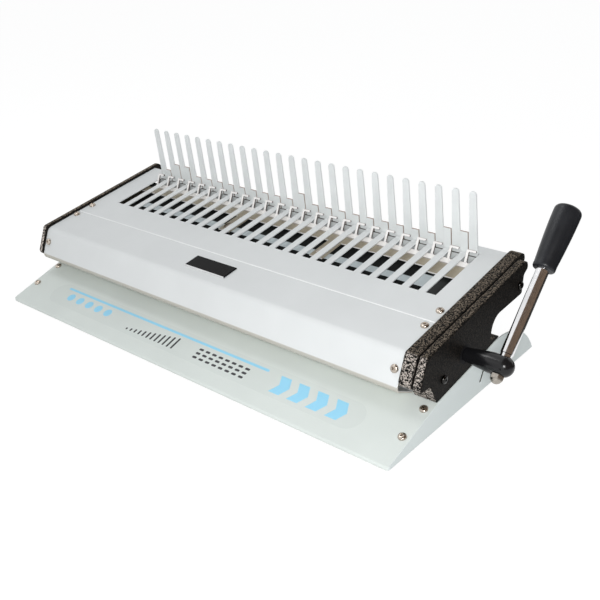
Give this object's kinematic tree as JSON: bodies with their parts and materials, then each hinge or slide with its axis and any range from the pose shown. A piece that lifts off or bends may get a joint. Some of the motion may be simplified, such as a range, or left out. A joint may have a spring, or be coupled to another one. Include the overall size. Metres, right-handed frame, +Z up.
{
  "type": "comb binding machine with comb opener",
  "caption": "Hand-lever comb binding machine: a row of fingers and sliding hooks opens plastic combs above a lever-driven paper punch.",
  "frame": {"origin": "on the table plane, under the middle of the outline seen from above, lever included", "axes": "+X along the comb row towards the lever, +Y to the rear, +Z up"},
  "size_m": [0.4542, 0.1876, 0.1287],
  "materials": {
    "base_paint": "satin",
    "cover_paint": "satin",
    "speckled_paint": "hammertone",
    "plated_steel": "satin",
    "tool_steel": "ground",
    "finger_plating": "satin",
    "bar_paint": "satin",
    "bright_screw": "polished",
    "chrome": "polished",
    "black_gloss": "gloss",
    "grip_plastic": "satin",
    "badge_plastic": "gloss",
    "dark_paint": "matte",
    "bush_nylon": "satin",
    "foot_rubber": "matte"
  },
  "bodies": {
    "frame": {"base_cover": "base_paint", "base_pan": "plated_steel", "base_posts": "plated_steel", "base_screws": "bright_screw", "rubber_feet": "foot_rubber", "left_frame_plate": "speckled_paint", "right_inner_cheek": "speckled_paint", "right_frame_plate": "speckled_paint", "plate_screws": "bright_screw", "frame_screws": "bright_screw", "top_cover": "cover_paint", "front_cover": "cover_paint", "cover_screws": "bright_screw", "badge_plate": "badge_plastic", "rear_cover": "dark_paint", "finger_strip": "finger_plating", "comb_fingers": "finger_plating", "finger_screws": "bright_screw", "rear_beam": "dark_paint", "front_tie_rod": "plated_steel", "guide_bar": "bar_paint", "guide_brackets": "dark_paint", "guide_screws": "bright_screw", "die_plate": "tool_steel", "die_spacers": "tool_steel", "die_screws": "bright_screw", "punch_guide": "tool_steel", "shaft_bushes": "bush_nylon"},
    "lever": {"main_shaft": "black_gloss", "cranks": "plated_steel", "lever_rod": "chrome", "lever_nut": "bright_screw", "lever_grip": "grip_plastic"},
    "hooks": {"hook_plate": "plated_steel", "hook_arms": "plated_steel", "hook_rivets": "bright_screw"},
    "punch": {"punch_bar": "plated_steel", "punch_pins": "tool_steel", "punch_forks": "plated_steel"},
    "tray": {"chip_tray": "dark_paint"}
  },
  "joints": [
    {"name": "lever_turn", "type": "hinge", "parent": "frame", "child": "lever", "pos_m": [0.20975, -0.00391, 0.04225], "axis": [1, 0, 0], "range_deg": [0, 90]},
    {"name": "hook_slide", "type": "slide", "parent": "frame", "child": "hooks", "axis": [0, -0.9877, -0.1564], "range_m": [0, 0.01486]},
    {"name": "punch_slide", "type": "slide", "parent": "frame", "child": "punch", "axis": [0, 0.1564, -0.9877], "range_m": [0, 0.00906]},
    {"name": "tray_slide", "type": "slide", "parent": "frame", "child": "tray", "axis": [0, 1, 0], "range_m": [0, 0.08]}
  ],
  "couplings": [
    {"joint": "hook_slide", "follows": "lever_turn", "m_per_rad": 0.0094533},
    {"joint": "punch_slide", "follows": "lever_turn", "m_per_rad": 0.005762}
  ]
}
